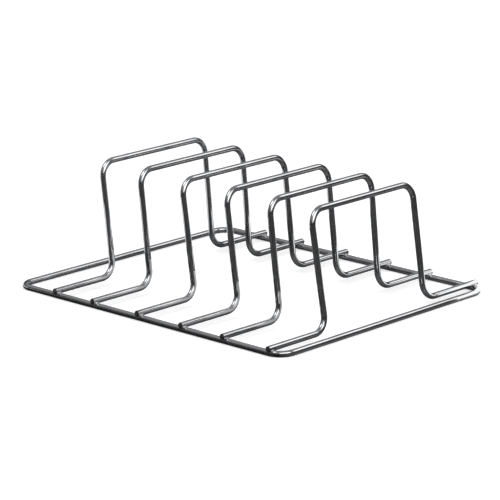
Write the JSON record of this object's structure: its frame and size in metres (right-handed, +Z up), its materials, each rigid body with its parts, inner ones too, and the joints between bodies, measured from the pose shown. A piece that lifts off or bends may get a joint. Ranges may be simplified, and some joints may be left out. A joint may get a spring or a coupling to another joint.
{
  "type": "sterilization pouch rack",
  "caption": "Bent and welded round-wire rack: a flat rectangular frame carries a row of leaning wire hoops that hold flat instrument pouches on edge in a sterilizer.",
  "frame": {"origin": "middle of the rack's footprint, on the surface it stands on", "axes": "+X along the row of hoops, from the back rail to the front rail, against the way the hoops lean; +Y along the hoops' top bars; +Z up"},
  "size_m": [0.229, 0.1964, 0.0799],
  "materials": {
    "bright_wire": "polished bright",
    "weld_metal": "bright, slightly rough"
  },
  "bodies": {
    "root": {"base_frame": "bright_wire", "hoop_1": "bright_wire", "hoop_2": "bright_wire", "hoop_3": "bright_wire", "hoop_4": "bright_wire", "hoop_5": "bright_wire", "hoop_6": "bright_wire", "weld_left_1": "weld_metal", "weld_right_1": "weld_metal", "weld_left_2": "weld_metal", "weld_right_2": "weld_metal", "weld_left_3": "weld_metal", "weld_right_3": "weld_metal", "weld_left_4": "weld_metal", "weld_right_4": "weld_metal", "weld_left_5": "weld_metal", "weld_right_5": "weld_metal", "weld_left_6": "weld_metal", "weld_right_6": "weld_metal"}
  },
  "joints": []
}
